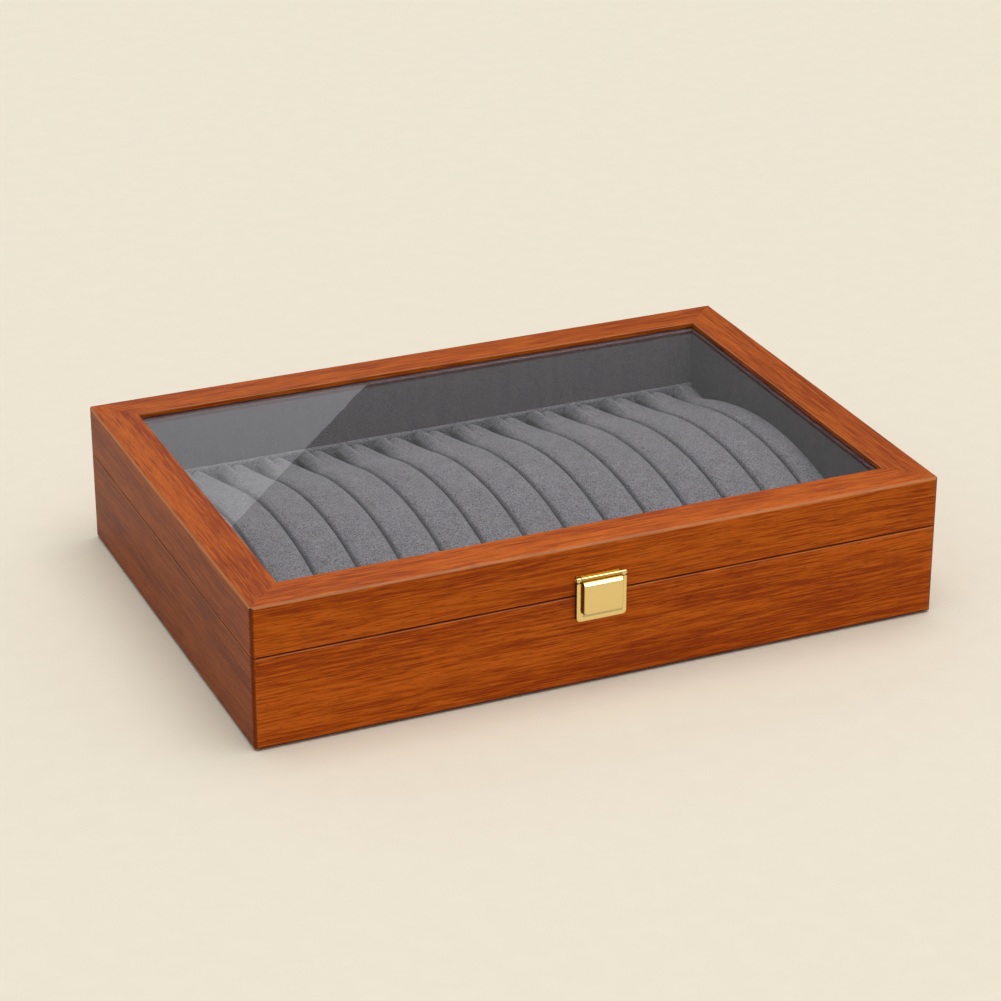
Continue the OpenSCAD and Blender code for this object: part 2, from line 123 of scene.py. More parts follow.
# %% [markdown]
# ## Studio
# The box stands on a pale paper sweep under a large soft light. A sun lamp with a wide
# angle does what a big softbox overhead does, and it keeps the paper evenly lit. It stands
# a little to the right, so the soft shadow falls to the left. An even white world fills
# the rest. Seen directly, past the paper's far edge, the world has the paper's own colour.


# %% The paper floor
def flat_card(name, corners):
    mesh = bpy.data.meshes.new(name)
    mesh.from_pydata(corners, [], [tuple(range(len(corners)))])
    card = bpy.data.objects.new(name, mesh)
    bpy.context.scene.collection.objects.link(card)
    return card


FLOOR_HALF = 6.0
PAPER_DARK, PAPER_LIGHT = "#ECE4D1", "#EEE6D3"
paper, tree = new_finish("matt_background_paper")
fibre = add_node(tree, "ShaderNodeTexNoise", [("Scale", 900.0), ("Detail", 3.0)])
tone = add_node(tree, "ShaderNodeValToRGB", [("Fac", fibre.outputs["Fac"])])
set_ramp(tone, [(0.3, PAPER_DARK), (0.7, PAPER_LIGHT)])
shader = add_node(tree, "ShaderNodeBsdfPrincipled", [
    ("Base Color", tone.outputs["Color"]), ("Roughness", 0.9), ("Specular IOR Level", 0.1)])
add_node(tree, "ShaderNodeOutputMaterial", [("Surface", shader.outputs["BSDF"])])
floor = flat_card("paper_floor", [
    (sx * FLOOR_HALF, sy * FLOOR_HALF, 0) for sx, sy in ((-1, -1), (1, -1), (1, 1), (-1, 1))])
floor.data.materials.append(paper)
print("paper floor:", 2 * FLOOR_HALF, "m wide")

# %% The white room
WORLD_LEVEL = 0.5
BACKDROP = "#EDE5D2"
world = bpy.data.worlds.new("studio_fill")
world.use_nodes = True
world.node_tree.nodes.clear()
fill = add_node(world.node_tree, "ShaderNodeBackground", [
    ("Color", linear("#FFFFFF")), ("Strength", WORLD_LEVEL)])
backdrop = add_node(world.node_tree, "ShaderNodeBackground", [
    ("Color", linear(BACKDROP)), ("Strength", 1.0)])
path = add_node(world.node_tree, "ShaderNodeLightPath")
seen = add_node(world.node_tree, "ShaderNodeMixShader", [
    (0, path.outputs["Is Camera Ray"]), (1, fill.outputs["Background"]),
    (2, backdrop.outputs["Background"])])
add_node(world.node_tree, "ShaderNodeOutputWorld", [("Surface", seen.outputs["Shader"])])
bpy.context.scene.world = world
print("room light, of 1:", WORLD_LEVEL)

# %% The softbox overhead
KEY_FROM = Vector((0.08, -0.06, 1.0))
KEY_STRENGTH, KEY_WIDE = 1.6, 56
key_data = bpy.data.lights.new("key_softbox", "SUN")
key_data.energy = KEY_STRENGTH
key_data.angle = math.radians(KEY_WIDE)
key = bpy.data.objects.new("key_softbox", key_data)
key.rotation_euler = KEY_FROM.to_track_quat("Z", "Y").to_euler()
bpy.context.scene.collection.objects.link(key)
key_light = KEY_STRENGTH / math.pi * KEY_FROM.normalized().z
print("light on the floor, of 1:", round(WORLD_LEVEL + key_light, 3))

# %% [markdown]
# ## What the glass mirrors
# A sheet of glass shows what stands where its mirrored rays go. Photographers control
# that with cards: a black one keeps the glass clear, and the edge of a lighter one draws
# the straight diagonal gleam. The two cards here stand behind the box, out of the
# picture. A third card hangs overhead and draws the white line on the polished clasp.
# Only reflections see them, so they throw no shadow and dim no light.

# %% Reflection cards
CARD_Y = 1.0
DARK_Y = CARD_Y + 0.01
LINE_Z = 1.5
GLEAM_LEVEL, DARK_LEVEL, LINE_LEVEL = 0.79, 0.05, 4.0
gleam_corners = [
    (x, CARD_Y, z) for x, z in ((0.45, 0.354), (0.05, 0.707), (-0.6, 0.707), (-0.6, 0.354))]
dark_corners = [(x, DARK_Y, z) for x, z in ((-0.7, 0.25), (1.3, 0.25), (1.3, 0.85), (-0.7, 0.85))]
line_corners = [(x, y, LINE_Z) for x, y in ((-0.2, -0.9), (1.3, -0.9), (1.3, 0.0), (-0.2, 0.0))]
for name, corners, colour, level in (
        ("gleam_card", gleam_corners, "#F4F6FA", GLEAM_LEVEL),
        ("black_card", dark_corners, "#8A8C90", DARK_LEVEL),
        ("line_card", line_corners, "#FFFFFF", LINE_LEVEL)):
    card = flat_card(name, corners)
    card_finish, tree = new_finish(name)
    glow = add_node(tree, "ShaderNodeEmission", [("Color", linear(colour)), ("Strength", level)])
    add_node(tree, "ShaderNodeOutputMaterial", [("Surface", glow.outputs["Emission"])])
    card.data.materials.append(card_finish)
    card.visible_camera = card.visible_diffuse = card.visible_shadow = False
    card.visible_transmission = False
    print(name, "corners:", len(corners))

# %% [markdown]
# ## Stained wood
# The case is a fine-grained tropical hardwood, stained red-brown and sprayed with satin
# lacquer. Sawn along the grain it shows thin streaks, short flecks where the grain dips
# into the board, dark pores a few millimetres long, and slow bands of lighter and darker
# wood. On the real box the grain runs along each side, so at the mitres it turns by a
# right angle. Noise that is stretched along the grain gives all four, and each noise is
# bent a little by a slow wave, as the grain of a board is. Each piece has its own finish:
# its grain comes from another part of the board, and its colour is scaled by painted
# light and shade for the way the light falls on its sides and on its top.

# %% Sizes of the grain
WOOD_NOISES = {
    "band": (150 * MM, 11 * MM, 2.0), "fleck": (24 * MM, 1.4 * MM, 2.0),
    "streak": (20 * MM, 0.7 * MM, 3.0), "pore": (5 * MM, 0.45 * MM, 1.0)}
WAVE_LONG, WAVE_HEIGHT = 60 * MM, 1.6 * MM
print("streaks:", [round(size / MM, 1) for size in WOOD_NOISES["streak"][:2]], "mm")


# %% The grain's noises
def wood_grain(tree, place, along_y, offset):
    """Noise levels of a board whose grain runs along X, or along Y."""
    turned = add_node(tree, "ShaderNodeMapping", [
        ("Vector", place.outputs["Object"]), ("Location", offset),
        ("Rotation", (0, 0, math.radians(90) if along_y else 0))])
    wave = add_node(tree, "ShaderNodeTexNoise", [
        ("Vector", turned.outputs["Vector"]), ("Scale", 1 / WAVE_LONG), ("Detail", 1.0)])
    centred = add_node(tree, "ShaderNodeVectorMath", [
        (0, wave.outputs["Color"]), (1, (0.5, 0.5, 0.5))], operation="SUBTRACT")
    shift = add_node(tree, "ShaderNodeVectorMath", [
        (0, centred.outputs["Vector"]), (1, (0, WAVE_HEIGHT, WAVE_HEIGHT))], operation="MULTIPLY")
    grain = add_node(tree, "ShaderNodeVectorMath", [
        (0, turned.outputs["Vector"]), (1, shift.outputs["Vector"])], operation="ADD")
    levels = {}
    for part, (long, wide, detail) in WOOD_NOISES.items():
        scaled = add_node(tree, "ShaderNodeVectorMath", [
            (0, grain.outputs["Vector"]), (1, (1 / long, 1 / wide, 1 / wide))],
            operation="MULTIPLY")
        texture = add_node(tree, "ShaderNodeTexNoise", [
            ("Vector", scaled.outputs["Vector"]), ("Scale", 1.0), ("Detail", detail)])
        levels[part] = texture.outputs["Fac"]
    return levels


# %% [markdown]
# ## The board's colours and painted light
# The stain takes three tones from the noises. The object's own normal tells a board's top
# from its sides. Each board gets one painted light level for its sides and one for its
# top, as shade and light for how the light falls there, and its top is mixed a little
# towards white as a painted sheen.

# %% Colours of the stain
WOOD_DARK, WOOD_MID, WOOD_LIGHT = "#933A08", "#B05009", "#C45F16"
FLECK_SHARE, STREAK_SHARE = 0.45, 0.5
PORE_FROM, PORE_FULL, PORE_DARK = 0.58, 0.72, 0.62
# The share of white mixed into the tops, as a painted sheen.
TOP_PAINTED_SHEEN = 0.011
print("stain in linear light:", [round(c, 3) for c in linear(WOOD_MID)[:3]])


# %% The stain and the painted light of each side
def board_colour(tree, levels, normal, side_painted_light, top_painted_light):
    slow = add_node(tree, "ShaderNodeMix", [
        ("Factor", FLECK_SHARE), (2, levels["band"]), (3, levels["fleck"])], data_type="FLOAT")
    mixed = add_node(tree, "ShaderNodeMix", [
        ("Factor", STREAK_SHARE), (2, slow.outputs[0]), (3, levels["streak"])], data_type="FLOAT")
    colour = add_node(tree, "ShaderNodeValToRGB", [("Fac", mixed.outputs[0])])
    set_ramp(colour, [(0.425, WOOD_DARK), (0.5, WOOD_MID), (0.575, WOOD_LIGHT)])
    pore = add_node(tree, "ShaderNodeMapRange", [
        ("Value", levels["pore"]), ("From Min", PORE_FROM), ("From Max", PORE_FULL),
        ("To Min", 1.0), ("To Max", PORE_DARK)])
    upward = add_node(tree, "ShaderNodeMapRange", [
        ("Value", normal.outputs["Z"]), ("From Min", 0.6), ("From Max", 0.95)])
    # The level of painted light and shade: the sides' value on a wall, the top's value on the top.
    painted_face_light = add_node(tree, "ShaderNodeMapRange", [
        ("Value", upward.outputs["Result"]), ("To Min", side_painted_light), ("To Max", top_painted_light)])
    depth = add_node(tree, "ShaderNodeMath", [
        (0, pore.outputs["Result"]), (1, painted_face_light.outputs["Result"])], operation="MULTIPLY")
    lit_board = add_node(tree, "ShaderNodeVectorMath", [
        (0, colour.outputs["Color"]), ("Scale", depth.outputs[0])], operation="SCALE")
    # The top is mixed a little towards white, a painted sheen of the lacquer.
    painted_sheen = add_node(tree, "ShaderNodeMapRange", [
        ("Value", upward.outputs["Result"]), ("To Max", TOP_PAINTED_SHEEN)])
    sheened = add_node(tree, "ShaderNodeMix", [
        ("Factor", painted_sheen.outputs["Result"]), (6, lit_board.outputs["Vector"]), (7, linear("#FFFFFF"))],
        data_type="RGBA")
    return sheened.outputs[2]


# %% [markdown]
# ## Painted edge light and shade, and stained corners
# The upper long edges get a pale line, a painted highlight, and the lower roundings, at
# the seam under the lid and at the foot, get a dark one, painted shade. Stain gathers on
# the upright corners. The object's own normal finds these places: its height part is 0
# on a wall, 1 on the top and between the two only on a rounding, and on an upright corner
# both of its level parts are large.

# %% Colours of the edges
# The pale colour is a painted highlight, the darkest one is painted shade, and the corner colour is
# stain.
EDGE_HIGHLIGHT, CORNER_DARK, SEAM_SHADE = "#CF9B6E", "#5E2A10", "#230D05"
SEAM_SHADE_SHARE, EDGE_HIGHLIGHT_SHARE, CORNER_STAIN = 1.0, 0.42, 0.8
ROUNDING_CURVE = ((0.2, 0.0), (0.45, 1.0), (0.7, 1.0), (0.9, 0.0))
print("share of pale wood on a worn edge:", EDGE_HIGHLIGHT_SHARE)


# %% The edges' colour
def edge_light_shade_and_stain(tree, normal, board):
    """The board's colour, with painted highlight and shade on its roundings and stain on its
    corners.
    """
    steep = add_node(tree, "ShaderNodeMath", [(0, normal.outputs["Z"])], operation="ABSOLUTE")
    rounding = add_node(tree, "ShaderNodeFloatCurve", [("Value", steep.outputs[0])])
    points = rounding.mapping.curves[0].points
    points[0].location, points[1].location = (0.0, 0.0), (1.0, 0.0)
    for x, y in ROUNDING_CURVE:
        points.new(x, y)
    rounding.mapping.update()
    # Below a level rounding the colour is painted shade, above it a painted highlight.
    above = add_node(tree, "ShaderNodeMapRange", [
        ("Value", normal.outputs["Z"]), ("From Min", -0.05), ("From Max", 0.05)])
    highlight_and_shade = add_node(tree, "ShaderNodeMix", [
        ("Factor", above.outputs["Result"]), (6, linear(SEAM_SHADE)), (7, linear(EDGE_HIGHLIGHT))],
        data_type="RGBA")
    light_share = add_node(tree, "ShaderNodeMapRange", [
        ("Value", above.outputs["Result"]), ("To Min", SEAM_SHADE_SHARE), ("To Max", EDGE_HIGHLIGHT_SHARE)])
    edge_light_now = add_node(tree, "ShaderNodeMath", [
        (0, rounding.outputs["Value"]), (1, light_share.outputs["Result"])], operation="MULTIPLY")
    edge_lit = add_node(tree, "ShaderNodeMix", [
        ("Factor", edge_light_now.outputs[0]), (6, board), (7, highlight_and_shade.outputs[2])],
        data_type="RGBA")
    both = add_node(tree, "ShaderNodeMath", [
        (0, normal.outputs["X"]), (1, normal.outputs["Y"])], operation="MULTIPLY")
    size = add_node(tree, "ShaderNodeMath", [(0, both.outputs[0])], operation="ABSOLUTE")
    corner = add_node(tree, "ShaderNodeMapRange", [
        ("Value", size.outputs[0]), ("From Min", 0.3), ("From Max", 0.46),
        ("To Max", CORNER_STAIN)])
    cornered = add_node(tree, "ShaderNodeMix", [
        ("Factor", corner.outputs["Result"]), (6, edge_lit.outputs[2]), (7, linear(CORNER_DARK))],
        data_type="RGBA")
    return cornered.outputs[2]


# %% The wood finish
LACQUER_ROUGHNESS, LACQUER_SPREAD = 0.4, 0.07
LACQUER_SPECULAR = 0.07
GRAIN_RELIEF = 0.1 * MM


def stained_wood(name, along_y, offset, side_painted_light, top_painted_light):
    finish, tree = new_finish(name)
    place = add_node(tree, "ShaderNodeTexCoord")
    levels = wood_grain(tree, place, along_y, offset)
    normal = add_node(tree, "ShaderNodeSeparateXYZ", [("Vector", place.outputs["Normal"])])
    board = board_colour(tree, levels, normal, side_painted_light, top_painted_light)
    highlighted = edge_light_shade_and_stain(tree, normal, board)
    gloss = add_node(tree, "ShaderNodeMapRange", [
        ("Value", levels["streak"]), ("To Min", LACQUER_ROUGHNESS - LACQUER_SPREAD),
        ("To Max", LACQUER_ROUGHNESS + LACQUER_SPREAD)])
    relief = add_node(tree, "ShaderNodeBump", [
        ("Height", levels["streak"]), ("Strength", 0.3), ("Distance", GRAIN_RELIEF)])
    shader = add_node(tree, "ShaderNodeBsdfPrincipled", [
        ("Base Color", highlighted), ("Roughness", gloss.outputs["Result"]), ("IOR", 1.5),
        ("Specular IOR Level", LACQUER_SPECULAR), ("Normal", relief.outputs["Normal"])])
    add_node(tree, "ShaderNodeOutputMaterial", [("Surface", shader.outputs["BSDF"])])
    return finish


def dress(node, finish):
    slots = nodes[node].material_slots
    if not slots:
        nodes[node].data.materials.append(finish)
    for slot in slots:
        slot.material = finish


# %% Eight wooden pieces: grain along Y or not, place in the board, painted light of sides and top
wood_pieces = {
    "lid_front": (False, (0.31, 0.17, 0.02), 1.0, 1.08),
    "lid_back": (False, (1.70, 0.55, 0.31), 0.90, 0.96),
    "lid_left": (True, (0.93, 1.21, 0.44), 0.66, 0.93),
    "lid_right": (True, (2.61, 0.74, 0.13), 0.85, 0.92),
    "base_front": (False, (3.15, 0.92, 0.57), 1.04, 1.04),
    "base_back": (False, (4.40, 0.28, 0.71), 0.95, 0.95),
    "base_left": (True, (5.23, 1.66, 0.09), 0.56, 0.78),
    "base_right": (True, (6.02, 0.37, 0.88), 0.85, 0.85)}
for node, settings in wood_pieces.items():
    dress(node, stained_wood("satin_stained_hardwood_" + node, *settings))
print("wooden pieces:", len(wood_pieces))

# %% [markdown]
# ## Suede
# Liner and rolls are covered in microsuede, a dense knit whose face is sanded to a short
# nap. The nap gives a fine salt-and-pepper speckle, slow faint patches where a hand has
# brushed it, and a soft light rim at grazing angles, which is the shader's sheen. It has
# no gloss. On the liner the brush marks run up and down. The speckle's true size is a
# quarter of a millimetre, and it is drawn at 0.8 mm, because a finer one would vanish
# between the pixels. Faces that look up are painted lighter, a painted highlight on the
# liner's top edge.

# %% The suede finish
SPECKLE = 0.8 * MM
PATCH = 6 * MM
PATCH_SHARE = 0.12
NAP_RELIEF = 0.15 * MM


def microsuede(name, dark, light, upright, upward_painted_light, nap):
    finish, tree = new_finish(name)
    place = add_node(tree, "ShaderNodeTexCoord")
    speckle = add_node(tree, "ShaderNodeTexNoise", [
        ("Vector", place.outputs["Object"]), ("Scale", 1 / SPECKLE), ("Detail", 3.0),
        ("Roughness", 0.6)])
    brushed = add_node(tree, "ShaderNodeVectorMath", [
        (0, place.outputs["Object"]), (1, (1, 1, 1 / upright))], operation="MULTIPLY")
    patch = add_node(tree, "ShaderNodeTexNoise", [
        ("Vector", brushed.outputs["Vector"]), ("Scale", 1 / PATCH), ("Detail", 3.0)])
    mixed = add_node(tree, "ShaderNodeMix", [
        ("Factor", PATCH_SHARE), (2, speckle.outputs["Fac"]), (3, patch.outputs["Fac"])],
        data_type="FLOAT")
    colour = add_node(tree, "ShaderNodeValToRGB", [("Fac", mixed.outputs[0])])
    set_ramp(colour, [(0.36, dark), (0.64, light)])
    normal = add_node(tree, "ShaderNodeSeparateXYZ", [("Vector", place.outputs["Normal"])])
    # Faces that look up are made lighter, as painted light.
    upward_light = add_node(tree, "ShaderNodeMapRange", [
        ("Value", normal.outputs["Z"]), ("From Min", 0.3), ("From Max", 0.9),
        ("To Min", 1.0), ("To Max", upward_painted_light)])
    lit = add_node(tree, "ShaderNodeVectorMath", [
        (0, colour.outputs["Color"]), ("Scale", upward_light.outputs["Result"])], operation="SCALE")
    relief = add_node(tree, "ShaderNodeBump", [
        ("Height", speckle.outputs["Fac"]), ("Strength", 0.5), ("Distance", NAP_RELIEF)])
    shader = add_node(tree, "ShaderNodeBsdfPrincipled", [
        ("Base Color", lit.outputs["Vector"]), ("Roughness", 0.95), ("Specular IOR Level", 0.15),
        ("Sheen Weight", nap), ("Sheen Roughness", 0.45), ("Normal", relief.outputs["Normal"])])
    add_node(tree, "ShaderNodeOutputMaterial", [("Surface", shader.outputs["BSDF"])])
    return finish


# %% Four suedes and their pieces
cushion_suede = microsuede("grey_microsuede_cushion", "#474047", "#858085", 1.0, 1.0, 0.12)
liner_suede = microsuede("grey_microsuede_liner", "#443B41", "#6A6066", 8.0, 1.35, 0.1)
# The right liner wall gets a darker copy of the liner suede, as painted shade.
shaded_suede = microsuede("grey_microsuede_liner_right_painted_shade", "#322A2D", "#4E4346", 8.0, 2.2, 0.02)
lining_and_pocket_shade_suede = microsuede("grey_microsuede_lid_lining_and_pocket_shade", "#352D30", "#50474A", 8.0, 1.0, 0.02)
for side in ("front", "back", "left", "right"):
    dress("liner_" + side, shaded_suede if side == "right" else liner_suede)
    dress("lid_lining_" + side, lining_and_pocket_shade_suede)
# The cushion board, the floor of the pockets between rolls, gets the dark lining suede as painted
# shade.
dress("cushion_board", lining_and_pocket_shade_suede)
for node in ("cushion_back_strip", "cushion_front_strip"):
    dress(node, cushion_suede)
print("suede finishes:", 4)

# %% [markdown]
# ## Glass
# The window is a clear float-glass pane. A glass shader bends the view a little and
# mirrors the room. It also stops the lamps' light, because a shadow ray can't bend, so
# for shadow rays alone the pane is plainly see-through. Float glass has a faint unevenness.

# %% The glass finish
FLOAT_WAVE = 60 * MM
glass, tree = new_finish("clear_float_glass")
wave = add_node(tree, "ShaderNodeTexNoise", [("Scale", 1 / FLOAT_WAVE), ("Detail", 1.0)])
relief = add_node(tree, "ShaderNodeBump", [
    ("Height", wave.outputs["Fac"]), ("Strength", 0.02), ("Distance", 0.2 * MM)])
shader = add_node(tree, "ShaderNodeBsdfPrincipled", [
    ("Base Color", linear("#FBFDFC")), ("Roughness", 0.0), ("IOR", 1.5),
    ("Transmission Weight", 1.0), ("Normal", relief.outputs["Normal"])])
clear = add_node(tree, "ShaderNodeBsdfTransparent", [("Color", linear("#F2F5F4"))])
path = add_node(tree, "ShaderNodeLightPath")
either = add_node(tree, "ShaderNodeMixShader", [
    (0, path.outputs["Is Shadow Ray"]), (1, shader.outputs["BSDF"]), (2, clear.outputs["BSDF"])])
add_node(tree, "ShaderNodeOutputMaterial", [("Surface", either.outputs["Shader"])])
dress("glass_pane", glass)

# %% [markdown]
# ## Metal, plywood and felt
# The clasp is pressed brass with a polished gilt coat, and the hinges are plain brushed
# brass. Both are metals, so their colour is in the reflection. The bottom is birch
# plywood, and a dark wool felt under it keeps the box from scratching a shelf.


# %% Metal finishes
def brass(name, colour, roughness, scratch):
    finish, tree = new_finish(name)
    place = add_node(tree, "ShaderNodeTexCoord")
    mark = add_node(tree, "ShaderNodeTexNoise", [
        ("Vector", place.outputs["Object"]), ("Scale", 1 / scratch), ("Detail", 4.0)])
    gloss = add_node(tree, "ShaderNodeMapRange", [
        ("Value", mark.outputs["Fac"]), ("To Min", roughness * 0.7), ("To Max", roughness * 1.3)])
    shader = add_node(tree, "ShaderNodeBsdfPrincipled", [
        ("Base Color", linear(colour)), ("Metallic", 1.0), ("Roughness", gloss.outputs["Result"])])
    add_node(tree, "ShaderNodeOutputMaterial", [("Surface", shader.outputs["BSDF"])])
    return finish


def shaded_gilt(name, shade_colour, lit_colour, roughness):
    """Gilt painted darker, as shade, wherever it doesn't face up."""
    finish, tree = new_finish(name)
    place = add_node(tree, "ShaderNodeTexCoord")
    normal = add_node(tree, "ShaderNodeSeparateXYZ", [("Vector", place.outputs["Normal"])])
    facing_up = add_node(tree, "ShaderNodeMapRange", [
        ("Value", normal.outputs["Z"]), ("From Min", 0.15), ("From Max", 0.5)])
    colour = add_node(tree, "ShaderNodeMix", [
        ("Factor", facing_up.outputs["Result"]), (6, linear(shade_colour)), (7, linear(lit_colour))],
        data_type="RGBA")
    shader = add_node(tree, "ShaderNodeBsdfPrincipled", [
        ("Base Color", colour.outputs[2]), ("Metallic", 1.0), ("Roughness", roughness)])
    add_node(tree, "ShaderNodeOutputMaterial", [("Surface", shader.outputs["BSDF"])])
    return finish


gilt_brass = brass("polished_gilt_brass", "#F1D58F", 0.16, 1.5 * MM)
# The plate's gilt is painted darker as shade wherever it doesn't face up.
plate_gilt = shaded_gilt("gilt_brass_painted_side_shade", "#C58F2C", "#F1D58F", 0.18)
hinge_brass = brass("brushed_brass", "#D9B765", 0.3, 0.8 * MM)
dress("clasp_plate", plate_gilt)
for node in ("clasp_pin", "clasp_keeper"):
    dress(node, gilt_brass)
hinge_nodes = [n for n in nodes if n.startswith("hinge_") or n.endswith("_screws")]
for node in hinge_nodes:
    dress(node, hinge_brass)
print("brass pieces:", 3 + len(hinge_nodes))

# %% Plywood and felt finishes
PLY_GRAIN = 1.2 * MM
plywood, tree = new_finish("birch_plywood")
place = add_node(tree, "ShaderNodeTexCoord")
scaled = add_node(tree, "ShaderNodeVectorMath", [
    (0, place.outputs["Object"]), (1, (0.03 / PLY_GRAIN, 1 / PLY_GRAIN, 1 / PLY_GRAIN))],
    operation="MULTIPLY")
grain = add_node(tree, "ShaderNodeTexNoise", [("Vector", scaled.outputs["Vector"]), ("Scale", 1.0)])
colour = add_node(tree, "ShaderNodeValToRGB", [("Fac", grain.outputs["Fac"])])
set_ramp(colour, [(0.3, "#B98A5A"), (0.7, "#D9B184")])
shader = add_node(tree, "ShaderNodeBsdfPrincipled", [
    ("Base Color", colour.outputs["Color"]), ("Roughness", 0.6)])
add_node(tree, "ShaderNodeOutputMaterial", [("Surface", shader.outputs["BSDF"])])
dress("base_bottom", plywood)

FELT_FIBRE = 0.8 * MM
felt, tree = new_finish("dark_wool_felt")
place = add_node(tree, "ShaderNodeTexCoord")
fibre = add_node(tree, "ShaderNodeTexNoise", [
    ("Vector", place.outputs["Object"]), ("Scale", 1 / FELT_FIBRE), ("Detail", 5.0)])
colour = add_node(tree, "ShaderNodeValToRGB", [("Fac", fibre.outputs["Fac"])])
set_ramp(colour, [(0.35, "#2A2A2E"), (0.65, "#4A4A50")])
relief = add_node(tree, "ShaderNodeBump", [
    ("Height", fibre.outputs["Fac"]), ("Strength", 0.6), ("Distance", 0.3 * MM)])
shader = add_node(tree, "ShaderNodeBsdfPrincipled", [
    ("Base Color", colour.outputs["Color"]), ("Roughness", 1.0), ("Specular IOR Level", 0.1),
    ("Normal", relief.outputs["Normal"])])
add_node(tree, "ShaderNodeOutputMaterial", [("Surface", shader.outputs["BSDF"])])
dress("base_felt", felt)
print("plywood and felt are on")

# %% [markdown]
# ## Ring rolls
# Each roll is a strip of foam bent over an arch and wrapped in suede. Rings are pushed
# into the slits between neighbours. The wrapping is tight over the arch. At both ends it
# is gathered and tucked down: the sides come in, a ridge runs up to the strip, a valley
# lies beside it, and a rounded lobe ends just short of the strip. Where two rolls part, a
# dark pocket opens.
# A loft does this well: a cross-section that changes along the roll, with its points
# given once for the arch and once for the gathered end, and blended in between. Each
# point is measured from the roll's left edge and from the top of the arch. The two edge
# rolls are gathered only on the side that has a neighbour.

# %% Sizes of a roll, in millimetres
ROLL_WIDE = 20.9
ARCH_DROP, END_RISE, RISE_LONG, EDGE_RISE_LONG = 24.0, 7.5, 38.0, 22.0
GATHER_FROM = 62.0
SHOULDER_GROW, SHOULDER_FULL, SHOULDER_DEEP = 0.9, 80.0, -5.0
SINK, SINK_FROM, SINK_LONG = 1.4, 78.0, 19.0
FOLD_FROM, FOLD_PLACE, FOLD_WIDE, FOLD_DEEP = 66.0, 7.0, 1.0, 2.4
TIP_FROM, TIP_DROP, TIP_PLACE, TIP_ROUND = 91.0, 6.0, 10.4, 0.12
END_ROUND = 1.2
CREASE_PLACE, CREASE_WIDE, CREASE_DEEP = 1.9, 0.35, 0.16
SKIN_FROM, SKIN_LONG = -9, 5
LUMP_HIGH, LUMP_WIDE, LUMP_LONG = 0.2, 14, 30
STATIONS, STEPS = 110, 4
RIDGE_POINTS = 9
arch_section = [
    (1.2, None), (0.15, -14), (0, -8.5), (0.05, -4), (0.15, -2.7), (0.4, -1.75), (1.0, -1.1),
    (2.3, -0.55), (4.5, -0.25), (8, -0.06), (12, 0), (15.6, -0.12), (18.0, -0.55), (19.5, -1.3),
    (20.4, -2.5), (20.8, -4.4), (20.9, -9.5), (20.75, -14), (19.7, None)]
end_section = [
    (7.0, None), (6.4, -14), (4.8, -9.5), (2.9, -7.0), (1.6, -5.2), (1.3, -3.8), (2.0, -2.1),
    (3.1, -0.1), (4.1, 1.0), (5.2, 0.2), (7.0, -1.6), (8.5, -0.9), (10.2, -0.3), (11.9, -0.8),
    (13.2, -2.2), (13.7, -4.4), (13.5, -8), (13.8, -14), (14.4, None)]
print("points across a roll:", (len(arch_section) - 1) * STEPS + 1)


# %% Helpers for the roll
def ease(t):
    t = np.clip(t, 0, 1)
    return t * t * (3 - 2 * t)


def spline(points, steps):
    """Catmull-Rom curve through the points, with steps samples between each two."""
    p = np.asarray(points, float)
    p = np.vstack([2 * p[0] - p[1], p, 2 * p[-1] - p[-2]])
    t = (np.arange(steps) / steps)[:, None]
    out = []
    for a, b, c, d in zip(p[:-3], p[1:-2], p[2:-1], p[3:]):
        out.append(0.5 * (2 * b + (c - a) * t + (2 * a - 5 * b + 4 * c - d) * t ** 2
                          + (3 * b - a - 3 * c + d) * t ** 3))
    return np.vstack(out + [p[-2:-1]])


def squeeze(x, wide):
    """A narrower roll keeps both shoulders and loses width in the middle."""
    keep_left, keep_right = 4.5, 16.0
    return np.interp(x, [0, keep_left, keep_right, ROLL_WIDE],
                     [0, keep_left, wide - (ROLL_WIDE - keep_right), wide])


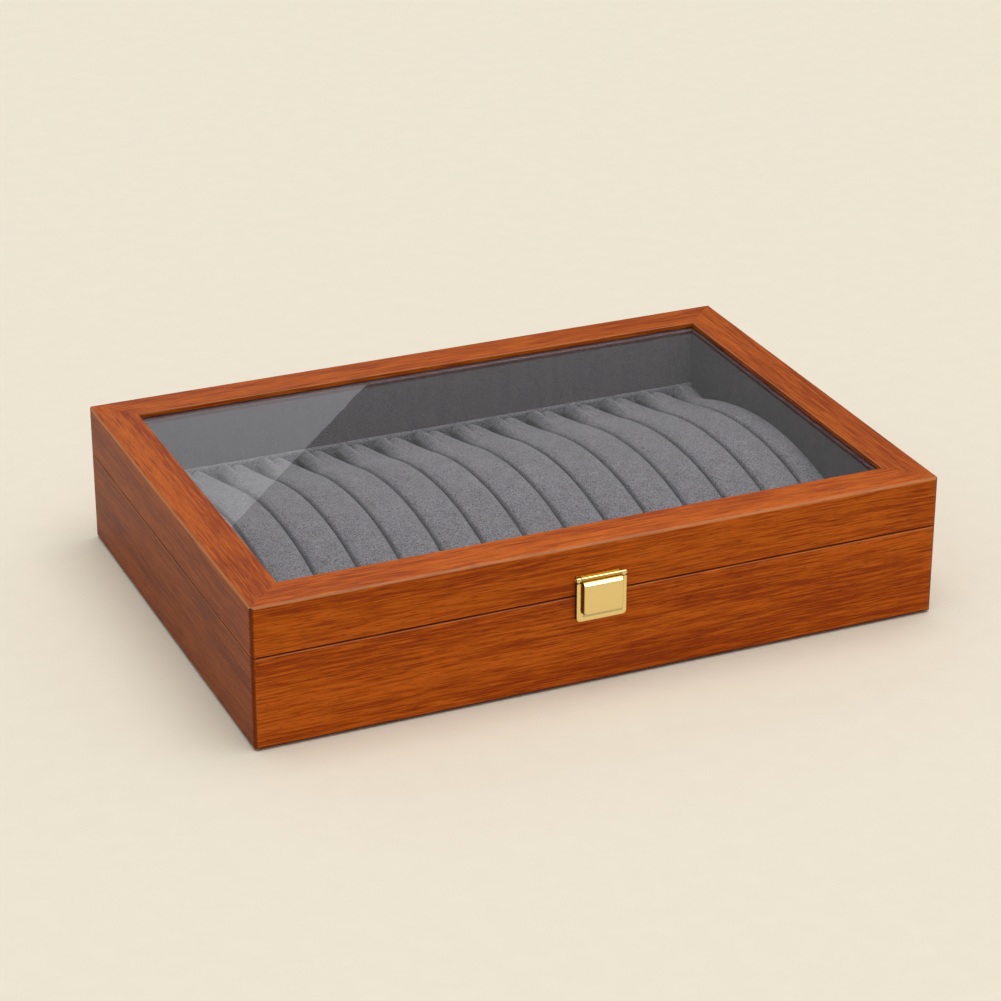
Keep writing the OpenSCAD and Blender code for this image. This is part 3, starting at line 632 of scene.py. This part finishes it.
# %% The roll's sections, from its front end to its back end
def roll_points(low, high, seed, left_form, right_form, rise_long):
    """Rings of points along the roll, in millimetres, from its CAD box."""
    wide, foot, half = high.x - low.x, low.z, high.y
    radius = (half ** 2 + ARCH_DROP ** 2) / (2 * ARCH_DROP)
    rings = []
    for y in half * np.sin(np.linspace(-np.pi / 2, np.pi / 2, STATIONS)):
        far = abs(y)
        rise = END_RISE * ease((far - half + rise_long) / rise_long)
        sink = SINK * (1 - ease((far - SINK_FROM) / SINK_LONG))
        top = high.z - radius + math.sqrt(radius ** 2 - y ** 2) + rise - sink
        steady = float(np.clip((far - GATHER_FROM) / (half - GATHER_FROM), 0, 1))
        gather = ease(steady)
        slope = 1 + SHOULDER_GROW * min(1, far / SHOULDER_FULL) ** 2
        rows = []
        for n, ((ax, az), (bx, bz)) in enumerate(zip(arch_section, end_section)):
            part = steady * left_form if n < RIDGE_POINTS else gather * right_form
            z = foot - top if az is None else az * (slope if az > SHOULDER_DEEP else 1)
            rows.append((ax + (bx - ax) * part, z if az is None else z + (bz - z) * part))
        x, z = spline(rows, STEPS).T
        upper = np.clip((z - SKIN_FROM) / SKIN_LONG, 0, 1)
        fold_part = float(np.clip((far - FOLD_FROM) / (half - FOLD_FROM), 0, 1))
        fold_now = left_form * right_form * FOLD_DEEP * fold_part
        z = z - fold_now * np.exp(-((x - FOLD_PLACE) / FOLD_WIDE) ** 2) * upper
        crease_now = CREASE_DEEP * (1 - gather)
        z = z - crease_now * np.exp(-((x - CREASE_PLACE) / CREASE_WIDE) ** 2) * upper
        tip_far = far + TIP_ROUND * (x - TIP_PLACE) ** 2
        past = np.clip((tip_far - TIP_FROM) / (half - TIP_FROM), 0, 1)
        past = past * ease((far - TIP_FROM + 3) / 3)
        tip_now = right_form * TIP_DROP * (1 - np.sqrt(1 - past ** 2))
        z = z - tip_now * upper * ease((x - FOLD_PLACE) / 1.6)
        cap = max(0.0, (far - half + END_ROUND) / END_ROUND)
        z = z - END_ROUND * (1 - math.sqrt(1 - cap ** 2)) * upper
        x = squeeze(x, wide)
        for n in range(len(x)):
            lump = noise.noise(Vector((x[n] / LUMP_WIDE + seed * 7.3, y / LUMP_LONG, seed * 3.1)))
            z[n] += LUMP_HIGH * lump * upper[n]
        rings.append(np.column_stack([low.x + x, np.full(len(x), y), np.maximum(top + z, foot)]))
    return np.array(rings)


# %% A skin over the sections
def add_piece(name, points, faces, smooth, finish):
    """A mesh object from points in millimetres."""
    mesh = bpy.data.meshes.new(name)
    mesh.from_pydata((points.reshape(-1, 3) * MM).tolist(), [], faces)
    mesh.polygons.foreach_set("use_smooth", smooth)
    mesh.materials.append(finish)
    mesh.validate()
    piece = bpy.data.objects.new(name, mesh)
    bpy.context.scene.collection.objects.link(piece)
    return piece


def loft(name, rings, finish):
    """A closed skin over rings of points, with a face over the first and the last one."""
    count, ring = rings.shape[:2]
    faces = []
    for j in range(count - 1):
        for k in range(ring):
            a, b = j * ring + k, j * ring + (k + 1) % ring
            faces.append((a, b, b + ring, a + ring))
    faces.append(tuple(reversed(range(ring))))
    faces.append(tuple(range((count - 1) * ring, count * ring)))
    return add_piece(name, rings, faces, [True] * (len(faces) - 2) + [False] * 2, finish)


# %% Fifteen rolls
edge_forms = {
    "edge_roll_left": (0.0, 1.0, EDGE_RISE_LONG), "edge_roll_right": (1.0, 0.0, EDGE_RISE_LONG)}
roll_nodes = sorted(n for n in nodes if n.startswith("ring_roll_")) + list(edge_forms)
for seed, node in enumerate(roll_nodes):
    low, high = (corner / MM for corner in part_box(node))
    left_form, right_form, rise_long = edge_forms.get(node, (1.0, 1.0, RISE_LONG))
    rings = roll_points(low, high, seed, left_form, right_form, rise_long)
    roll = loft("suede_" + node, rings, cushion_suede)
    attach(roll, "base")
    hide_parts(node)
print("rolls:", len(roll_nodes), "with", len(roll.data.vertices), "points each")

# %% [markdown]
# ## Clasp flap
# The flap is pressed from sheet brass: a flat rim with turned-back sides, and a raised
# panel with a broad bevel at its top that catches the light. A groove runs down the
# panel's left and under it. The groove and the left turned-back side get a dark gilt as
# painted shade, and the rim's top under the curls gets an ochre gilt as painted shade. At
# both ends of the top the sheet curls back round the pin. Outlines of rounded rectangles,
# one behind the other, loft the pressed shape as a thin shell with an inside, because the
# flap shows its back when it is open.

# %% Places taken from the CAD model
CORNER_STEPS = 6
flap_low, flap_high = (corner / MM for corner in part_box("clasp_flap"))
pin_low, pin_high = (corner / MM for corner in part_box("clasp_pin"))
FRONT_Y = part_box("clasp_keeper")[1].y / MM
PIN_Y, PIN_Z = (pin_low.y + pin_high.y) / 2, (pin_low.z + pin_high.z) / 2
FLAP_LEFT, FLAP_RIGHT = flap_low.x, flap_high.x
KNUCKLE_R, BORE_R, EAR_WIDE = 1.2, 0.67, 2.5
RIM_GAP = 0.12
FLAP_LOW, RIM_TOP = flap_low.z, PIN_Z - KNUCKLE_R - RIM_GAP
RIM_LEFT, RIM_RIGHT, PANEL_FOOT = 3.1, 2.35, 3.8
PANEL_LEFT, PANEL_RIGHT = FLAP_LEFT + RIM_LEFT, FLAP_RIGHT - RIM_RIGHT
PANEL_LOW, PANEL_HIGH = FLAP_LOW + PANEL_FOOT, RIM_TOP
SHEET, RIM_OUT, PANEL_OUT = 0.8, 2.5, FRONT_Y - flap_low.y
print("pin at y, z:", round(PIN_Y, 2), round(PIN_Z, 2), "panel stands out:", round(PANEL_OUT, 2))


# %% Outlines for the pressed shape
def rounded_outline(left, right, low, high, radius, top_radius):
    """Points of a rounded rectangle, the same number for any size."""
    corners = (
        (right - radius, low + radius, -90, radius),
        (right - top_radius, high - top_radius, 0, top_radius),
        (left + top_radius, high - top_radius, 90, top_radius),
        (left + radius, low + radius, 180, radius))
    points = []
    for cx, cz, start, r in corners:
        for k in range(CORNER_STEPS + 1):
            turn = math.radians(start + 90 * k / CORNER_STEPS)
            points.append((cx + r * math.cos(turn), cz + r * math.sin(turn)))
    return np.array(points)


def flap_ring(inset, depth, radius):
    """Outline of the rim. Its top edge has no turned-back wall."""
    outline = rounded_outline(
        FLAP_LEFT + inset, FLAP_RIGHT - inset, FLAP_LOW + inset, RIM_TOP, radius, 0.03)
    depths = np.full(len(outline), float(depth))
    steps = CORNER_STEPS + 1
    depths[steps + 2:3 * steps - 2] = max(depth, RIM_OUT - SHEET)
    return np.column_stack([outline[:, 0], FRONT_Y - depths, outline[:, 1]])


def panel_ring(left, right, foot, top, depth, radius, top_radius):
    """Outline of the panel, drawn in by a distance on each side."""
    outline = rounded_outline(
        PANEL_LEFT + left, PANEL_RIGHT - right, PANEL_LOW + foot, PANEL_HIGH - top,
        radius, top_radius)
    return np.column_stack([outline[:, 0], np.full(len(outline), FRONT_Y - depth), outline[:, 1]])


# %% The flap's outlines, from its inside round the rim to the panel's front
flap_rings = [
    panel_ring(1.2, 1.2, 1.2, 2.0, PANEL_OUT - SHEET, 0.8, 0.5),
    panel_ring(0.8, 0.8, 0.8, 0.9, RIM_OUT - SHEET, 1.0, 0.5),
    flap_ring(SHEET + 0.1, RIM_OUT - SHEET, 1.0), flap_ring(SHEET, RIM_OUT - SHEET - 0.1, 1.1),
    flap_ring(SHEET, 0.35, 1.1), flap_ring(SHEET - 0.1, 0.3, 1.2), flap_ring(0.1, 0.3, 1.9),
    flap_ring(0, 0.4, 2.0), flap_ring(0, RIM_OUT - 0.45, 2.0), flap_ring(0.06, RIM_OUT - 0.2, 1.95),
    flap_ring(0.2, RIM_OUT - 0.06, 1.85), flap_ring(0.42, RIM_OUT, 1.7),
    panel_ring(-0.3, -0.25, -0.34, -0.35, RIM_OUT, 1.7, 0.1),
    panel_ring(-0.24, -0.2, -0.28, -0.35, RIM_OUT - 0.1, 1.6, 0.1),
    panel_ring(-0.06, 0, -0.05, -0.35, RIM_OUT - 0.25, 1.35, 0.1),
    panel_ring(0, 0.02, 0, -0.3, RIM_OUT - 0.25, 1.3, 0.1),
    panel_ring(0.06, 0.1, 0.05, 0.12, RIM_OUT + 0.2, 1.3, 0.15),
    panel_ring(0.12, 0.2, 0.12, 0.85, PANEL_OUT - 0.75, 1.25, 0.2),
    panel_ring(0.2, 0.3, 0.2, 1.28, PANEL_OUT - 0.2, 1.2, 0.25),
    panel_ring(0.36, 0.45, 0.36, 1.42, PANEL_OUT - 0.05, 1.1, 0.3),
    panel_ring(0.7, 0.8, 0.7, 1.7, PANEL_OUT, 0.9, 0.3)]
ring_size = len(flap_rings[0])
print("flap rings:", len(flap_rings), "of", ring_size, "points")

# %% The pressed flap
# Dark and ochre copies of the gilt are painted shade.
painted_shade_gilt = brass("gilt_brass_painted_groove_shade", "#6E4A1C", 0.5, 1.5 * MM)
ochre_shade_gilt = brass("gilt_brass_painted_ochre_shade", "#D9A845", 0.4, 1.5 * MM)
flap = loft("gilt_clasp_flap", np.array(flap_rings), gilt_brass)
flap.data.materials.append(painted_shade_gilt)
flap.data.materials.append(ochre_shade_gilt)
SHADE_SLOT, OCHRE_SHADE_SLOT = 1, 2
# The groove and the left side wall get the dark gilt as painted shade.
for polygon in flap.data.polygons:
    ring = polygon.index // ring_size
    panel_left = polygon.center.x < (PANEL_LEFT + 0.5) * MM
    panel_under = polygon.center.z < (PANEL_LOW + 0.5) * MM
    in_groove = 12 <= ring < (17 if panel_left else 15)
    turned_side = 4 <= ring < 9 and polygon.center.x < (FLAP_LEFT + 0.15) * MM
    if turned_side or (in_groove and (panel_left or panel_under)):
        polygon.material_index = SHADE_SLOT
    # The rim's top just under the curls gets the ochre gilt, as painted shade.
    elif 10 <= ring < 16 and polygon.center.z > (PANEL_HIGH - 0.3) * MM:
        polygon.material_index = OCHRE_SHADE_SLOT
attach(flap, "flap")
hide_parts("clasp_flap")
print("flap faces:", len(flap.data.polygons))

# %% The two curls round the pin
ROUND_STEPS = 48
SOFT = 0.12


def pin_ring(x, radius):
    turn = np.linspace(0, 2 * np.pi, ROUND_STEPS, endpoint=False)
    return np.column_stack([
        np.full(ROUND_STEPS, x), PIN_Y + radius * np.cos(turn), PIN_Z + radius * np.sin(turn)])


def curl(name, left, right):
    """A tube round the pin with softened ends."""
    rings = np.array([pin_ring(x, r) for x, r in (
        (left, BORE_R), (left, KNUCKLE_R - SOFT), (left + SOFT / 3, KNUCKLE_R - SOFT / 3),
        (left + SOFT, KNUCKLE_R), (right - SOFT, KNUCKLE_R),
        (right - SOFT / 3, KNUCKLE_R - SOFT / 3), (right, KNUCKLE_R - SOFT), (right, BORE_R))])
    count = len(rings)
    faces = []
    for j in range(count):
        for k in range(ROUND_STEPS):
            a, b = j * ROUND_STEPS + k, j * ROUND_STEPS + (k + 1) % ROUND_STEPS
            shift = ROUND_STEPS if j < count - 1 else -(count - 1) * ROUND_STEPS
            faces.append((a, a + shift, b + shift, b))
    return add_piece(name, rings, faces, [True] * len(faces), gilt_brass)


def neck(name, left, right, depth_in, high):
    """The rim's sheet between its top edge and the curl."""
    front, back, low = FRONT_Y - RIM_OUT, FRONT_Y - depth_in, RIM_TOP - 0.1
    rows = [(back, low), (back, high), (front + 0.004, high), (front, high - 0.1), (front, low)]
    return loft(name, np.array([[(x, y, z) for y, z in rows] for x in (left, right)]), gilt_brass)


ear_places = {
    "left": (FLAP_LEFT, FLAP_LEFT + EAR_WIDE, FLAP_LEFT, FLAP_LEFT + SHEET),
    "right": (FLAP_RIGHT - EAR_WIDE, FLAP_RIGHT, FLAP_RIGHT - SHEET, FLAP_RIGHT)}
INSIDE = 0.02
for side, (left, right, wall_left, wall_right) in ear_places.items():
    ear = curl("gilt_curl_" + side, left, right)
    sheet = neck("gilt_neck_" + side, left + INSIDE, right - INSIDE, RIM_OUT - SHEET, PIN_Z)
    wall = neck("gilt_side_" + side, wall_left + INSIDE, wall_right - INSIDE, 0.3, PIN_Z - 0.6)
    for piece in (ear, sheet, wall):
        # The left side wall's outer face gets the dark gilt as painted shade.
        if piece.name == "gilt_side_left":
            piece.data.materials.append(painted_shade_gilt)
            piece.data.polygons[len(piece.data.polygons) - 2].material_index = SHADE_SLOT
        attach(piece, "flap")
print("curls:", 2, "of radius", KNUCKLE_R, "mm")

# %% [markdown]
# ## Softer edges on the hard parts
# No real edge is knife-sharp: a small round catches a line of light. The clasp's plates
# and the hinge leaves get one from a bevel modifier, which leaves the CAD mesh as it is.

# %% Bevels
PLATE_EDGE, LEAF_EDGE = 0.15, 0.2
EDGE_STEPS, EDGE_TURN = 3, 40
edge_widths = {"clasp_plate": PLATE_EDGE, "clasp_keeper": PLATE_EDGE}
edge_widths.update({n: LEAF_EDGE for n in nodes if n.endswith("_leaf")})
for node, width in edge_widths.items():
    bevel = nodes[node].modifiers.new("soft_edge", "BEVEL")
    bevel.width = width * MM
    bevel.segments = EDGE_STEPS
    bevel.limit_method = "ANGLE"
    bevel.angle_limit = math.radians(EDGE_TURN)
print("pieces with softened edges:", len(edge_widths))
